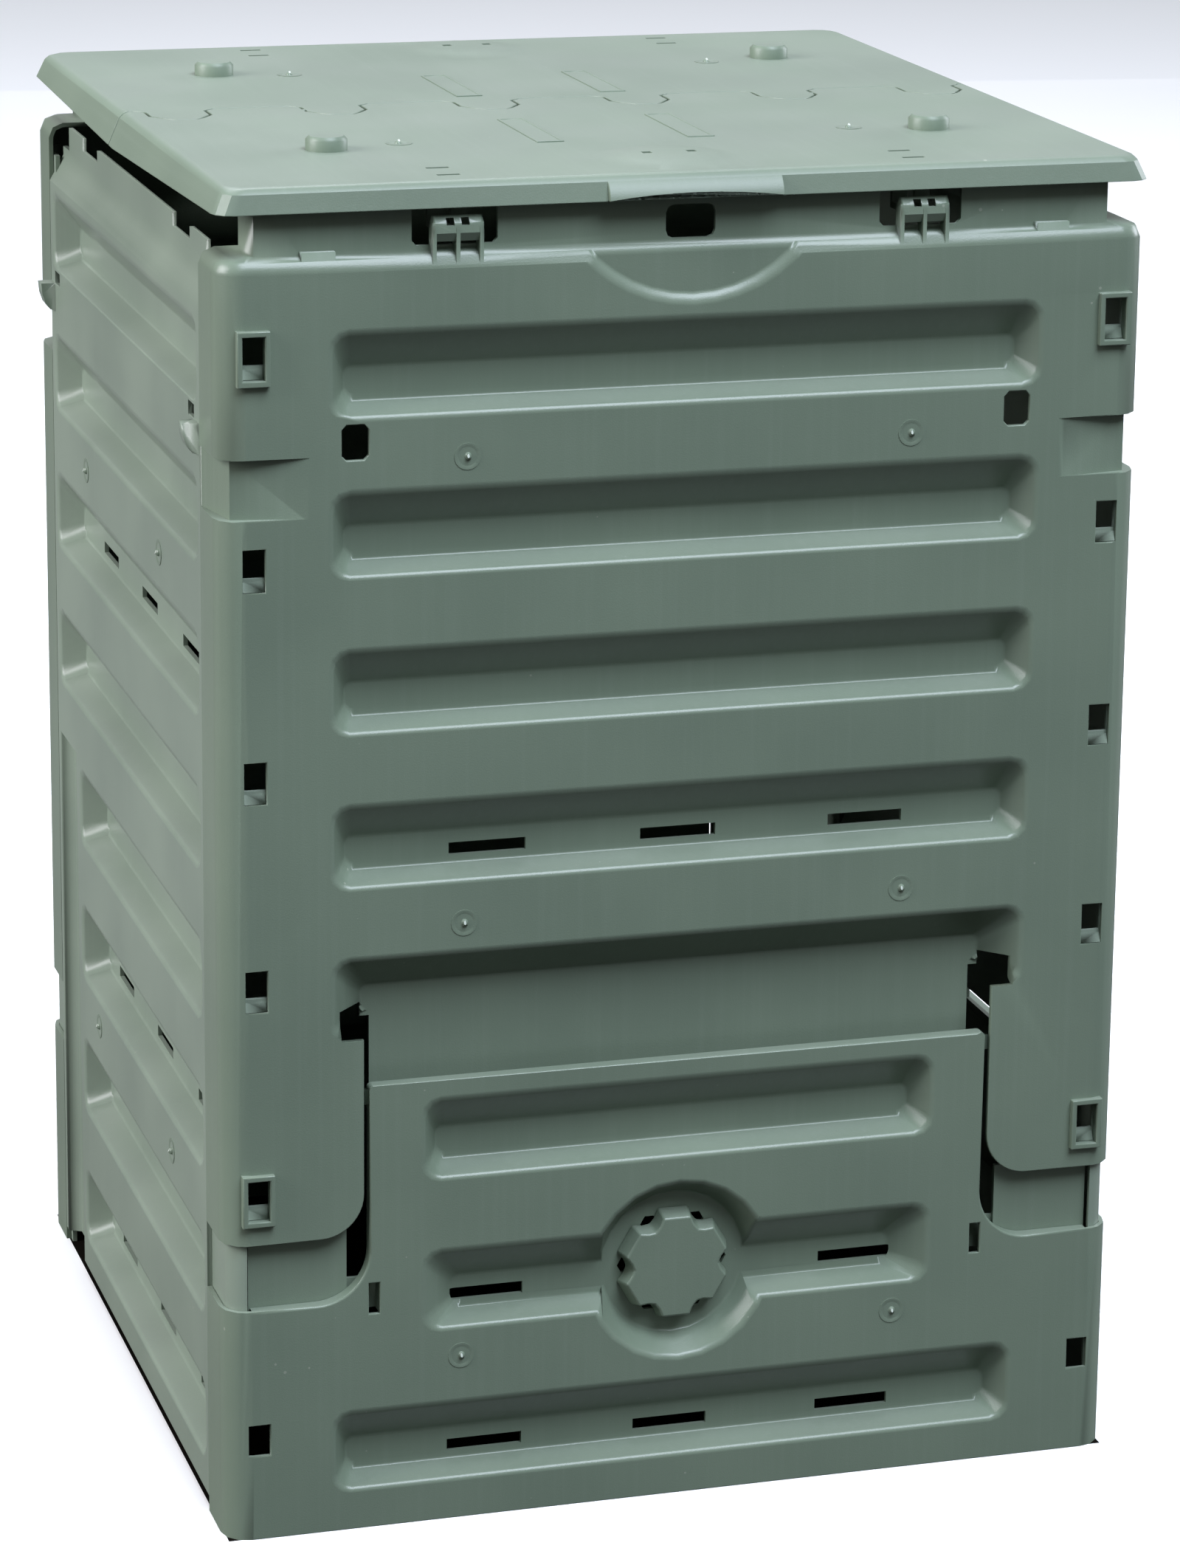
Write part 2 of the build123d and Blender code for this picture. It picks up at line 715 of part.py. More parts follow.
# Vent dial
def make_dial():
    floor = front_face + groove_depth
    back = floor - lap_gap
    front = back - dial_height

    def shape(y, lobe_radius):
        points = []
        lobe_pitch = full_turn / dial_lobes
        spots = ((-dial_flank_half_angle, dial_flank_share), (-dial_lobe_half_angle, 1),
                 (dial_lobe_half_angle, 1), (dial_flank_half_angle, dial_flank_share),
                 (lobe_pitch / 2, dial_notch_share))
        for index in range(dial_lobes):
            middle = (index + 0.5) * lobe_pitch
            for turn, part in spots:
                angle = radians(middle + turn)
                radius = lobe_radius * part
                points.append((radius * cos(angle), y, dial_z + radius * sin(angle)))
        return points

    hollow_radius = dial_face_radius * dial_notch_share - dial_skin
    hollow = Pos(0, dial_z) * RegularPolygon(hollow_radius, 2 * dial_lobes)
    body = stack([shape(back, dial_base_radius), shape(front, dial_face_radius)])
    body -= upright_prism(hollow, front + dial_skin, back + cut_over)
    snap_start = floor + wall + lap_gap
    hub_end = snap_start + hub_snap_length
    body += upright_rod(hub_radius, 0, dial_z, front + dial_skin / 2, hub_end)
    snap_ring = Pos(0, dial_z) * RegularPolygon(hub_snap_radius, 2 * dial_lobes)
    body += upright_prism(snap_ring, snap_start, hub_end)
    body -= block(-hub_slot / 2, hub_slot / 2, floor - wall, hub_end + cut_over,
                  dial_z - 2 * hub_snap_radius, dial_z + 2 * hub_snap_radius)
    return body


# Side wall, made as if it faced the front and turned into place afterwards
def make_side_wall():
    face = side_face
    half = bin_depth / 2 - return_depth - edge_gap
    back = face + wall
    shoulder_profile = [(face, side_foot_gap), (back, side_foot_gap), (back, side_shoulder_low + wall / 2),
                        (back + collar_set_back, side_shoulder_high + wall / 2),
                        (back + collar_set_back, side_shoulder_high + 2 * wall),
                        (face + collar_set_back, side_shoulder_high + 2 * wall),
                        (face + collar_set_back, side_shoulder_high), (face, side_shoulder_low)]
    body = side_prism(make_face(Polyline(*shoulder_profile, close=True)), -half, half)
    body += block(-side_collar_half, side_collar_half, face + collar_set_back, back + collar_set_back,
                  side_shoulder_high, side_collar_top)

    backings = []
    cutters = []
    for index in range(side_groove_count):
        top = groove_top - index * side_pitch
        lower = index >= side_upper_count
        left = -side_lower_far if lower else -side_upper_half
        backing, cutter = groove(face, (left + side_upper_half) / 2, (side_upper_half - left) / 2, top,
                                 top - groove_height, groove_depth, side_groove_slope_end, side_steps)
        backings.append(backing)
        cutters.append(cutter)
        if index in side_vent_grooves:
            middle = 0 if not lower else (side_upper_half - side_lower_far) / 2
            places = (middle - side_vent_pitch, middle, middle + side_vent_pitch)
            cutters += vents(face, places, top, groove_depth)

    # Sunk band down the far end
    band_run = band_depth / 2
    band = plan_prism([(-band_outer, face - cut_over), (-band_outer, face),
                       (-band_outer + band_run, face + band_depth),
                       (-band_inner - band_run, face + band_depth), (-band_inner, face),
                       (-band_inner, face - cut_over)], -cut_over, band_top)
    band_back = plan_prism([(-band_outer - wall, face + wall / 2), (-band_outer - wall / 2, face + wall),
                            (-band_outer + band_run - wall / 2, face + band_depth + wall),
                            (-band_inner - band_run + wall / 2, face + band_depth + wall),
                            (-band_inner + wall / 2, face + wall), (-band_inner + wall, face + wall / 2)],
                           side_foot_gap, band_top + wall)
    backings.append(band_back)
    cutters.append(band)
    cutters.append(pair(block(side_notch_x - side_notch_half, side_notch_x + side_notch_half,
                              face + collar_set_back - cut_over, back + collar_set_back + cut_over,
                              side_notch_bottom, side_collar_top + cut_over)))
    cutters.append(pair(block(coupling_slot_inner, coupling_inner, face - cut_over, back + cut_over,
                              coupling_top, coupling_slot_top)))
    body = cut(join(body, backings), cutters)

    # Coupling hooks
    hook_points = [(face + wall / 2, coupling_top)]
    for step in range(coupling_steps + 1):
        angle = radians(quarter_turn * step / coupling_steps)
        hook_points.append((face - coupling_reach * cos(angle), coupling_top - coupling_height * sin(angle)))
    hook_points.append((face + wall / 2, coupling_bottom))
    hook = make_face(Polyline(*hook_points, close=True))
    body += pair(side_prism(hook, coupling_inner, coupling_outer))

    # Edge flanges lying inside the returns, turned round the corner, and standing on the ground as feet
    flange_out = wall + lap_gap
    flange_in = flange_out + wall
    back_plane = bin_depth / 2

    def shell_corner(inset):
        radius = corner_radius - inset
        points = [(0, 0), (-back_plane + inset, 0)]
        points += arc_points(-back_plane + corner_radius, face + corner_radius, radius, half_turn,
                             3 * quarter_turn, corner_steps)
        points += [(0, face + inset)]
        return plan_prism(points, 0, flange_top)

    strip = shell_corner(flange_out) - shell_corner(flange_in)
    inner_end = half - 2 * wall
    edges = strip & block(-back_plane, -inner_end, face, -flange_turn, 0, flange_top)
    relief = wall + lap_gap
    edges -= block(-back_plane, -half, face, 0, notch_bottom - relief, notch_top + relief)
    edges += block(-half, -inner_end, face + wall / 2, face + flange_in, side_foot_gap, side_shoulder_low)

    # Tabs behind the snap windows, each with a sloped lug that drops into its window
    lug_root = -back_plane + flange_out
    for z in window_heights:
        low = z - window_half_z + lap_gap
        edges += strip & block(-back_plane, -inner_end, face, -tab_reach, low, low + tab_height)
        inside = lug_root + wall / 2
        lug = make_face(Polyline((inside, low), (lug_root - lug_proud, low), (lug_root, low + lug_height),
                                 (inside, low + lug_height), close=True))
        lug_half = window_half_x - lap_gap
        edges += upright_prism(lug, -window_x - lug_half, -window_x + lug_half)
    body += pair(edges)
    return body


# Both lid halves as one tray, before they are parted along the hinge
def make_lid_tray():
    under = lid_top - wall
    rim_low = lid_rim_bottom - lid_rim_sag
    rim_x = half_width + lid_overhang
    rim_y = half_depth + lid_overhang

    # Outlines at rising heights, drawn in along the slope of the rim and round its upper edge
    def tray(levels, shrink):
        outlines = []
        for z, inset in levels:
            rise = (z - lid_rim_bottom) / lid_rim_height
            half_x = rim_x - lid_side_run * rise - inset - shrink
            half_y = rim_y - lid_front_run * rise - inset - shrink
            outlines.append([(x, y, z) for x, y in softened(half_x, half_y, lid_corner, corner_steps)])
        return stack(outlines)

    def ring(radius, z, sides):
        return [(x, y, z) for x, y in arc_points(0, 0, radius, 0, full_turn, sides)[:-1]]

    def dome(radius, base, low, sides, steps):
        outlines = [ring(radius, low, sides)]
        for step in range(steps):
            share = 1 - step / steps
            outlines.append(ring(radius * share, base + dome_rise * (1 - share * share), sides))
        return Pos(0, -handle_y, 0) * stack(outlines)

    edge_low = lid_top - lid_edge_height
    edge_mid = lid_top - lid_edge_height / 3
    body = tray([(rim_low - cut_over, 0), (edge_low, 0), (edge_mid, lid_edge / 3), (lid_top, lid_edge)], 0)
    room = tray([(rim_low - 2 * cut_over, 0), (under - lid_edge / 2, 0), (under, lid_edge / 2)],
                wall * hypot(1, lid_side_run / lid_rim_height))

    # The rim hangs lower along both sides, deepest at the hinge
    reach = 2 * rim_y
    flat_y = rim_y - lid_front_run - lid_corner
    below = make_face(Polyline((-reach, 0), (reach, 0), (reach, lid_rim_bottom), (flat_y, lid_rim_bottom),
                               (0, rim_low), (-flat_y, lid_rim_bottom), (-reach, lid_rim_bottom), close=True))
    below = side_prism(below, -2 * rim_x, 2 * rim_x)

    # Handle: the hood is a rounded brow in front of the rim, its lip a little arched
    brow_y = brow_radius - rim_y - handle_proud
    brow_z = lid_top + brow_rise - brow_radius
    brow_end = half_turn - degrees(asin((handle_lip - brow_z) / brow_radius))

    def brow(radius, half, low):
        arc = arc_points(brow_y, brow_z, radius, quarter_turn, brow_end, brow_steps)
        points = [(brow_y, low)] + arc
        if low < arc[-1][1]:
            points.append((arc[-1][0], low))
        return side_prism(make_face(Polyline(*points, close=True)), -half, half)

    hood = brow(brow_radius, handle_half, handle_lip)
    hood += dome(dome_radius, lid_top - brow_rise, under + wall / 2, dome_sides, dome_steps)
    inner_half = handle_half - wall
    hollow = brow(brow_radius - wall, inner_half, rim_low)
    hollow += dome(dome_radius - wall, under - brow_rise, under - cut_over, hollow_sides, 1)
    arch_radius = handle_half ** 2 / (2 * handle_arch)
    arch_z = handle_lip + handle_arch - arch_radius
    arch = upright_rod(arch_radius, 0, arch_z, -rim_y - 2 * handle_proud, brow_y)
    arch = arch & block(-handle_half, handle_half, -reach, reach, rim_low, lid_top)
    turned = Rot(0, 0, half_turn)
    body = cut(body, [below]) + hood + turned * hood
    body = cut(body, [room, hollow, turned * hollow, arch, turned * arch])

    # Bumps, bare plates, slots and holes on the top
    bump_top = lid_top + bump_height
    bump = stack([ring(bump_radius, under, bump_steps), ring(bump_radius, bump_top - bump_round, bump_steps),
                  ring(bump_radius - bump_round, bump_top, bump_steps)])
    bump_core = extrude(RegularPolygon(bump_radius - wall, round_steps), amount=bump_height, dir=(0, 0, 1))
    for x in (-bump_x, bump_x):
        for y in (-bump_y, bump_y):
            body += Pos(x, y, 0) * bump
            body -= Pos(x, y, under - cut_over) * bump_core
    for x, y in plate_places:
        half_x = plate_size_x / 2
        half_y = plate_size_y / 2
        body += block(x - half_x, x + half_x, y - half_y, y + half_y, under, lid_top + plate_proud)
        half_x -= plate_border
        half_y -= plate_border
        body -= block(x - half_x, x + half_x, y - half_y, y + half_y, lid_top + plate_proud - plate_sunk,
                      lid_top + plate_proud + cut_over)
    holes = []
    for x in (-handle_hole_x, handle_hole_x):
        holes.append(block(x - handle_hole / 2, x + handle_hole / 2, -handle_y - handle_hole / 2,
                           -handle_y + handle_hole / 2, under - wall, lid_top + 2 * wall))
    for side in (-clip_x, clip_x):
        for inset in slot_insets:
            y = front_face + inset
            holes.append(block(side - slot_length / 2, side + slot_length / 2, y - slot_width / 2,
                               y + slot_width / 2, under - wall, lid_top + wall))
    body = cut(body, holes + [turned * hole for hole in holes])

    # Arms reaching down to the clips
    axis_y = clip_axis_y
    for side in (-clip_x, clip_x):
        for shift in (-arm_spread, arm_spread):
            x0 = side + shift - arm_width / 2
            x1 = x0 + arm_width
            low = clip_axis_z - arm_thickness / 2
            nose_room = block(x0, x1, axis_y - 2 * arm_nose_radius, axis_y, low, low + arm_thickness)
            arm = cross_rod(arm_nose_radius, x0, x1, axis_y, clip_axis_z) & nose_room
            arm += block(x0, x1, axis_y, axis_y + arm_leg_end, low, low + arm_thickness)
            arm += block(x0, x1, axis_y + arm_leg_start, axis_y + arm_leg_end, low, under + wall / 2)
            body += arm
            body += turned * arm
    return body


# Parting the tray: the rear half keeps tongues with pegs, the front half bosses with holes
def part_lid(tray):
    reach = bin_width
    points = [(reach, -reach), (reach, hinge_line)]
    root = tongue_half + tongue_root_round
    tip = tongue_reach - tongue_tip_round
    slant = (tongue_half - tongue_tip_half) / (tongue_reach - tongue_straight)
    tip_edge = tongue_half - slant * (tip - tongue_straight)
    for middle in reversed(hinge_tongues):
        near = [(root, hinge_line), (tongue_half, hinge_line - tongue_root_round),
                (tongue_half, -tongue_straight), (tip_edge, -tip),
                (tip_edge - tongue_tip_round, -tongue_reach)]
        points += [(middle + x, y) for x, y in near]
        points += [(middle - x, y) for x, y in reversed(near)]
    points += [(-reach, hinge_line), (-reach, -reach)]
    region = make_face(Polyline(*points, close=True))
    wider = offset(region, hinge_gap, kind=Kind.INTERSECTION)
    front = tray & extrude(region, amount=2 * lid_top, dir=(0, 0, 1))
    rear = tray - extrude(wider, amount=2 * lid_top, dir=(0, 0, 1))
    flush = block(-reach, reach, -reach, reach, 0, lid_top)
    for middle in peg_tongues:
        side = 1 if middle > 0 else -1
        barrel = sorted((middle + side * barrel_start, middle + side * barrel_end))
        peg = sorted((middle + side * barrel_start, middle + side * peg_end))
        boss = sorted((middle + side * boss_start, middle + side * boss_end))
        bore = sorted((middle + side * (tongue_half - cut_over), middle + side * (boss_end + cut_over)))
        rear += cross_bar(barrel_radius, barrel[0], barrel[1], 0, hinge_axis_z) & flush
        rear += cross_rod(peg_radius, peg[0], peg[1], 0, hinge_axis_z)
        front += cross_bar(barrel_radius, boss[0], boss[1], 0, hinge_axis_z) & flush
        front -= cross_rod(peg_radius + pin_gap, bore[0], bore[1], 0, hinge_axis_z)
    return front, rear


turned = Rot(0, 0, half_turn)
front_wall = make_front_wall()
front_flap = make_flap()
front_dial = make_dial()
side_wall = make_side_wall()
lid_front, lid_rear = part_lid(make_lid_tray())

nodes = {
    "front_wall": front_wall,
    "rear_wall": turned * front_wall,
    "left_wall": Rot(0, 0, -quarter_turn) * side_wall,
    "right_wall": Rot(0, 0, quarter_turn) * side_wall,
    "front_flap": front_flap,
    "rear_flap": turned * front_flap,
    "front_vent_dial": front_dial,
    "rear_vent_dial": turned * front_dial,
    "lid_front": lid_front,
    "lid_rear": lid_rear,
}

for name, solid in nodes.items():
    pieces = solid.solids()
    print(name, solid.is_valid, len(pieces), solid.bounding_box())
    export_step(solid, f"parts/{name}.step")
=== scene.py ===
from math import cos, hypot, radians, sin

import bmesh
import bpy
from mathutils import Matrix, Vector


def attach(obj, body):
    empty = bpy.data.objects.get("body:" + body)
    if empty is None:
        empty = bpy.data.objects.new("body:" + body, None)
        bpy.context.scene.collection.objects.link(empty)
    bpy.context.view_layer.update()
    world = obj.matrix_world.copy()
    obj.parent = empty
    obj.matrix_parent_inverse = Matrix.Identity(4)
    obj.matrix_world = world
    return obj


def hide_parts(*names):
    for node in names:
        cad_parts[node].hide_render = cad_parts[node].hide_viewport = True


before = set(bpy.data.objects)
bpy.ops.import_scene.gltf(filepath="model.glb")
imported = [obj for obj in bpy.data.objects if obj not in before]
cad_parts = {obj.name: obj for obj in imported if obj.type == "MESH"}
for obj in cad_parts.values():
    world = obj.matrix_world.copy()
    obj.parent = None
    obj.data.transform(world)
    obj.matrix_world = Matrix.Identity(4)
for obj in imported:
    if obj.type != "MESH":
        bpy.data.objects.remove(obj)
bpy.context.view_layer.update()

# Front and rear walls: one moulded polypropylene panel each, wrapped round two corners,
# pressed into grooves and clipped over the edges of the side walls.
MM = 0.001
TOUCH = 0.1 * MM
WALL_BODY = "bin"

# How far out from the middle of the bin each level of a wall lies
FACE_OUT = 300 * MM
FRAME_OUT = 304 * MM
FLOOR_OUT = 282 * MM
POCKET_OUT = 277.5 * MM
RECESS_OUT = 296.5 * MM
WALL_SKIN = 3 * MM

# Radii of the mould, and the bends that tell a slope from a cut edge
LIP_WIDTH = 3 * MM
FOOT_WIDTH = 1.5 * MM
RIM_WIDTH = 0.8 * MM
TIGHT_WIDTH = 1 * MM
LIP_STEPS = 3
FOOT_STEPS = 2
FLAT_BEND = radians(30)
STEEP_BEND = radians(75)
SMOOTH_ANGLE = radians(50)
MERGE_WITHIN = 0.02 * MM
SAME_PLANE = radians(0.5)

# The groove as the solid has it, and the steeper slopes that the mould gives it
GROOVE_HEIGHT = 52 * MM
GROOVE_FOOT_RISE = 11 * MM
GROOVE_CORNER = 7 * MM
SLOPE_TILT_LEAST = 0.8
SLOPE_TILT_MOST = 0.9
SLOPE_TURN_MOST = 0.05
FOOT_RISE_SEEN = 6 * MM
BACK_DROP = 4 * MM
END_DRAWN_OUT = 11 * MM

PLASTIC = "#758473"
PLASTIC_DEEP = "#6e7d6d"
PLASTIC_PALE = "#8a978a"
DRY_DUST = "#b0b3a6"
# Pale film on up-facing surfaces: dust, and a painted sheen of the sky
DUST_AND_SHEEN_FILM = "#9a9a97"
PLASTIC_IOR = 1.49
WALL_ROUGHNESS = (0.26, 0.38)
CLOUD_SIZE = 140 * MM
CLOUD_RANGE = (0.35, 0.68)
FLOW_WIDTH = 5 * MM
FLOW_LENGTH = 250 * MM
FLOW_RANGE = (0.50, 0.85)
WALL_FLOW = 0.14
FILM_PATCH = 110 * MM
FILM_RANGE = (0.3, 0.7)
FILM_THIN = 0.5
FILM_THICK = 1.5
FACES_UP = 0.8
WALL_FILM = 0.12
SPECK_SPACING = 14 * MM
SPECK_MOST = 0.11
SPECK_COVER = 0.35
DRIFT_SIZE = 90 * MM
DRIFT_RANGE = (0.52, 0.80)
GRAIN_DRAWN = 1 * MM
GRAIN_DEPTH = 0.2 * MM
GRAIN_STRENGTH = 0.35


def linear(hex_colour):
    shares = [int(hex_colour[place:place + 2], 16) / 255 for place in (1, 3, 5)]
    return [s / 12.92 if s <= 0.04045 else ((s + 0.055) / 1.055) ** 2.4 for s in shares] + [1.0]


def add_node(tree, kind, links=None, **settings):
    node = tree.nodes.new(kind)
    for key, value in settings.items():
        setattr(node, key, value)
    for socket, value in (links or {}).items():
        if isinstance(value, bpy.types.NodeSocket):
            tree.links.new(value, node.inputs[socket])
        else:
            node.inputs[socket].default_value = value
    return node


# Injection-moulded polypropylene: satin sheen, soft clouds of tone, faint flow lines, specks of dry dust
def moulded_polypropylene(name, flow_scale, flow_most=WALL_FLOW, film_most=WALL_FILM,
                          deep=PLASTIC_DEEP, light=PLASTIC, roughness=WALL_ROUGHNESS):
    material = bpy.data.materials.new(name)
    material.use_nodes = True
    tree = material.node_tree
    tree.nodes.clear()
    place = add_node(tree, "ShaderNodeTexCoord").outputs["Object"]

    # Clouds of tone, as the pigment mixes in the melt
    cloud = add_node(tree, "ShaderNodeTexNoise", {"Vector": place, "Scale": 1 / CLOUD_SIZE, "Detail": 4.0})
    tone = add_node(tree, "ShaderNodeValToRGB", {"Fac": cloud.outputs["Fac"]})
    tone.color_ramp.elements[0].position = CLOUD_RANGE[0]
    tone.color_ramp.elements[0].color = linear(deep)
    tone.color_ramp.elements[1].position = CLOUD_RANGE[1]
    tone.color_ramp.elements[1].color = linear(light)

    # Flow lines of the melt, narrow across and long with the flow
    drawn = add_node(tree, "ShaderNodeMapping", {"Vector": place, "Scale": flow_scale})
    flow = add_node(tree, "ShaderNodeTexNoise", {"Vector": drawn.outputs["Vector"], "Scale": 1.0,
                                                 "Detail": 5.0})
    flow_share = add_node(tree, "ShaderNodeMapRange", {"Value": flow.outputs["Fac"],
                                                       "From Min": FLOW_RANGE[0],
                                                       "From Max": FLOW_RANGE[1], "To Max": flow_most})
    flowed = add_node(tree, "ShaderNodeMix", {"Factor": flow_share.outputs["Result"],
                                              "A": tone.outputs["Color"], "B": linear(PLASTIC_PALE)},
                      data_type="RGBA")

    # A thin patchy pale film on what faces up: dust, and a painted sheen of the bright sky on the up-facing
    # tops
    facing = add_node(tree, "ShaderNodeTexCoord").outputs["Normal"]
    upward = add_node(tree, "ShaderNodeSeparateXYZ", {"Vector": facing})
    patch = add_node(tree, "ShaderNodeTexNoise", {"Vector": place, "Scale": 1 / FILM_PATCH, "Detail": 5.0})
    thick = add_node(tree, "ShaderNodeMapRange", {"Value": patch.outputs["Fac"], "From Min": FILM_RANGE[0],
                                                  "From Max": FILM_RANGE[1],
                                                  "To Min": FILM_THIN * film_most,
                                                  "To Max": FILM_THICK * film_most})
    film = add_node(tree, "ShaderNodeMapRange", {"Value": upward.outputs["Z"], "From Min": FACES_UP,
                                                 "To Max": thick.outputs["Result"]})
    filmed = add_node(tree, "ShaderNodeMix", {"Factor": film.outputs["Result"],
                                              "A": flowed.outputs["Result"], "B": linear(DUST_AND_SHEEN_FILM)},
                      data_type="RGBA")

    # Specks of dry dust, one or two millimetres across, in loose drifts
    speck = add_node(tree, "ShaderNodeTexVoronoi", {"Vector": place, "Scale": 1 / SPECK_SPACING})
    drift = add_node(tree, "ShaderNodeTexNoise", {"Vector": place, "Scale": 1 / DRIFT_SIZE, "Detail": 2.0})
    reach = add_node(tree, "ShaderNodeMapRange", {"Value": drift.outputs["Fac"], "From Min": DRIFT_RANGE[0],
                                                  "From Max": DRIFT_RANGE[1], "To Max": SPECK_MOST})
    dot = add_node(tree, "ShaderNodeMath", {0: speck.outputs["Distance"], 1: reach.outputs["Result"]},
                   operation="LESS_THAN")
    dot_share = add_node(tree, "ShaderNodeMath", {0: dot.outputs["Value"], 1: SPECK_COVER},
                         operation="MULTIPLY")
    dusted = add_node(tree, "ShaderNodeMix", {"Factor": dot_share.outputs["Value"],
                                              "A": filmed.outputs["Result"], "B": linear(DRY_DUST)},
                      data_type="RGBA")

    # Grain of the mould, really about 0.3 mm, drawn at 1 mm so that it shows
    grain = add_node(tree, "ShaderNodeTexNoise", {"Vector": place, "Scale": 1 / GRAIN_DRAWN, "Detail": 2.0})
    bump = add_node(tree, "ShaderNodeBump", {"Height": grain.outputs["Fac"], "Strength": GRAIN_STRENGTH,
                                             "Distance": GRAIN_DEPTH})
    rough = add_node(tree, "ShaderNodeMapRange", {"Value": cloud.outputs["Fac"], "To Min": roughness[0],
                                                  "To Max": roughness[1]})
    shader = add_node(tree, "ShaderNodeBsdfPrincipled", {"Base Color": dusted.outputs["Result"],
                                                         "Roughness": rough.outputs["Result"],
                                                         "IOR": PLASTIC_IOR,
                                                         "Normal": bump.outputs["Normal"]})
    add_node(tree, "ShaderNodeOutputMaterial", {"Surface": shader.outputs["BSDF"]})
    return material


def near(value, *targets):
    return any(abs(value - target) < TOUCH for target in targets)


def lies(edge, test):
    return all(test(vert.co) for vert in edge.verts)


def sloped(edge):
    return FLAT_BEND < edge.calc_face_angle(0) < STEEP_BEND


def steep(edge):
    return edge.is_convex and edge.calc_face_angle(0) >= STEEP_BEND


# The pressed grooves as the mould gives them: the floor runs on below its lower bend and out
# to both ends, so the lower and end slopes are steep, and the back of the skin follows
def draw_grooves(piece, axis, side, end_out):
    face_at = side * FACE_OUT
    floor_at = side * FLOOR_OUT
    back_at = floor_at - side * WALL_SKIN
    along = 1 - axis

    def lower_slope(face):
        at_face = any(near(v.co[axis], face_at) for v in face.verts)
        at_floor = any(near(v.co[axis], floor_at) for v in face.verts)
        tilted = SLOPE_TILT_LEAST < face.normal.z < SLOPE_TILT_MOST
        return at_face and at_floor and tilted and abs(face.normal[along]) < SLOPE_TURN_MOST

    def lowest(face):
        return min(v.co.z for v in face.verts)

    mesh = bmesh.from_edit_mesh(piece.data)
    lows = {round(lowest(face) / MM, 1) for face in mesh.faces if lower_slope(face)}
    for low in sorted(lows):
        bottom = low * MM
        bend = bottom + GROOVE_FOOT_RISE
        top = bottom + GROOVE_HEIGHT
        bpy.ops.mesh.select_all(action="DESELECT")
        bpy.ops.mesh.select_mode(type="FACE")
        mesh = bmesh.from_edit_mesh(piece.data)
        slopes = [face for face in mesh.faces if lower_slope(face) and near(lowest(face), bottom)]
        reach = [v.co[along] for face in slopes for v in face.verts]
        whole = len(slopes) == 1
        for face in slopes:
            face.select_set(True)
        bmesh.update_edit_mesh(piece.data)
        bpy.ops.mesh.bisect(plane_co=(0, 0, bottom + FOOT_RISE_SEEN), plane_no=(0, 0, 1))
        mesh = bmesh.from_edit_mesh(piece.data)
        ends = [v.co[along] for v in mesh.verts if near(v.co[axis], floor_at) and near(v.co.z, bend)]
        for vert in mesh.verts:
            if vert.select:
                place = vert.co[along]
                vert.co[along] = min(ends, key=lambda end: abs(end - place))
                vert.co[axis] = floor_at
            elif near(vert.co[axis], back_at) and bend - WALL_SKIN < vert.co.z < bend - WALL_SKIN / 3:
                vert.co.z -= BACK_DROP
        # The groove that the dish cuts in two keeps its ends
        levels = (floor_at, back_at) if whole else ()
        for level in levels:
            floor = [v for v in mesh.verts if near(v.co[axis], level) and bottom < v.co.z < top
                     and min(reach) - GROOVE_CORNER < v.co[along] < max(reach) + GROOVE_CORNER]
            first = min(v.co[along] for v in floor)
            last = max(v.co[along] for v in floor)
            for vert in floor:
                if vert.co[along] < first + GROOVE_CORNER:
                    vert.co[along] -= end_out
                elif vert.co[along] > last - GROOVE_CORNER:
                    vert.co[along] += end_out
        mesh.normal_update()
        bmesh.update_edit_mesh(piece.data)
    bpy.ops.mesh.select_mode(type="EDGE")


# A merged copy of a moulding; its chosen edges get the radius they have in the mould, pass after pass
def softened_copy(node_name, piece_name, body, material, passes, grooves=None, smooth=SMOOTH_ANGLE):
    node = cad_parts[node_name]
    bpy.ops.object.select_all(action="DESELECT")
    piece = node.copy()
    piece.data = node.data.copy()
    piece.name = piece_name
    bpy.context.collection.objects.link(piece)
    piece.select_set(True)
    bpy.context.view_layer.objects.active = piece
    bpy.ops.object.mode_set(mode="EDIT")
    bpy.ops.mesh.select_mode(type="EDGE")
    bpy.ops.mesh.select_all(action="SELECT")
    bpy.ops.mesh.remove_doubles(threshold=MERGE_WITHIN)
    bpy.ops.mesh.dissolve_limited(angle_limit=SAME_PLANE)
    if grooves:
        draw_grooves(piece, *grooves)
    for width, steps, wanted in passes:
        bpy.ops.mesh.select_all(action="DESELECT")
        mesh = bmesh.from_edit_mesh(piece.data)
        for edge in mesh.edges:
            if len(edge.link_faces) == 2 and wanted(edge):
                edge.select_set(True)
        bmesh.update_edit_mesh(piece.data)
        bpy.ops.mesh.bevel(offset=width, segments=steps, affect="EDGES", clamp_overlap=False)
    bpy.ops.object.mode_set(mode="OBJECT")
    bpy.ops.object.shade_smooth_by_angle(angle=smooth)
    bpy.ops.object.modifier_add(type="WEIGHTED_NORMAL")
    piece.modifiers[-1].keep_sharp = True
    bpy.ops.object.modifier_apply(modifier=piece.modifiers[-1].name)
    piece.data.materials.clear()
    piece.data.materials.append(material)
    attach(piece, body)
    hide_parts(node_name)


# Lips and feet of the grooves are rounded, lips in a tight place less, cut edges only broken
def panel_passes(faces, floors, axis, tight=lambda co: False):
    def at_face(co):
        return near(co[axis], *faces)

    def at_floor(co):
        return near(co[axis], *floors)

    def lip(edge):
        return edge.is_convex and sloped(edge) and lies(edge, at_face)

    def foot(edge):
        return not edge.is_convex and sloped(edge) and lies(edge, at_floor)

    def cut(edge):
        return steep(edge) and lies(edge, lambda co: at_face(co) and not tight(co))

    return [
        (LIP_WIDTH, LIP_STEPS, lambda edge: lip(edge) and not lies(edge, tight)),
        (TIGHT_WIDTH, FOOT_STEPS, lambda edge: lip(edge) and lies(edge, tight)),
        (FOOT_WIDTH, FOOT_STEPS, foot),
        (RIM_WIDTH, FOOT_STEPS, cut),
    ]


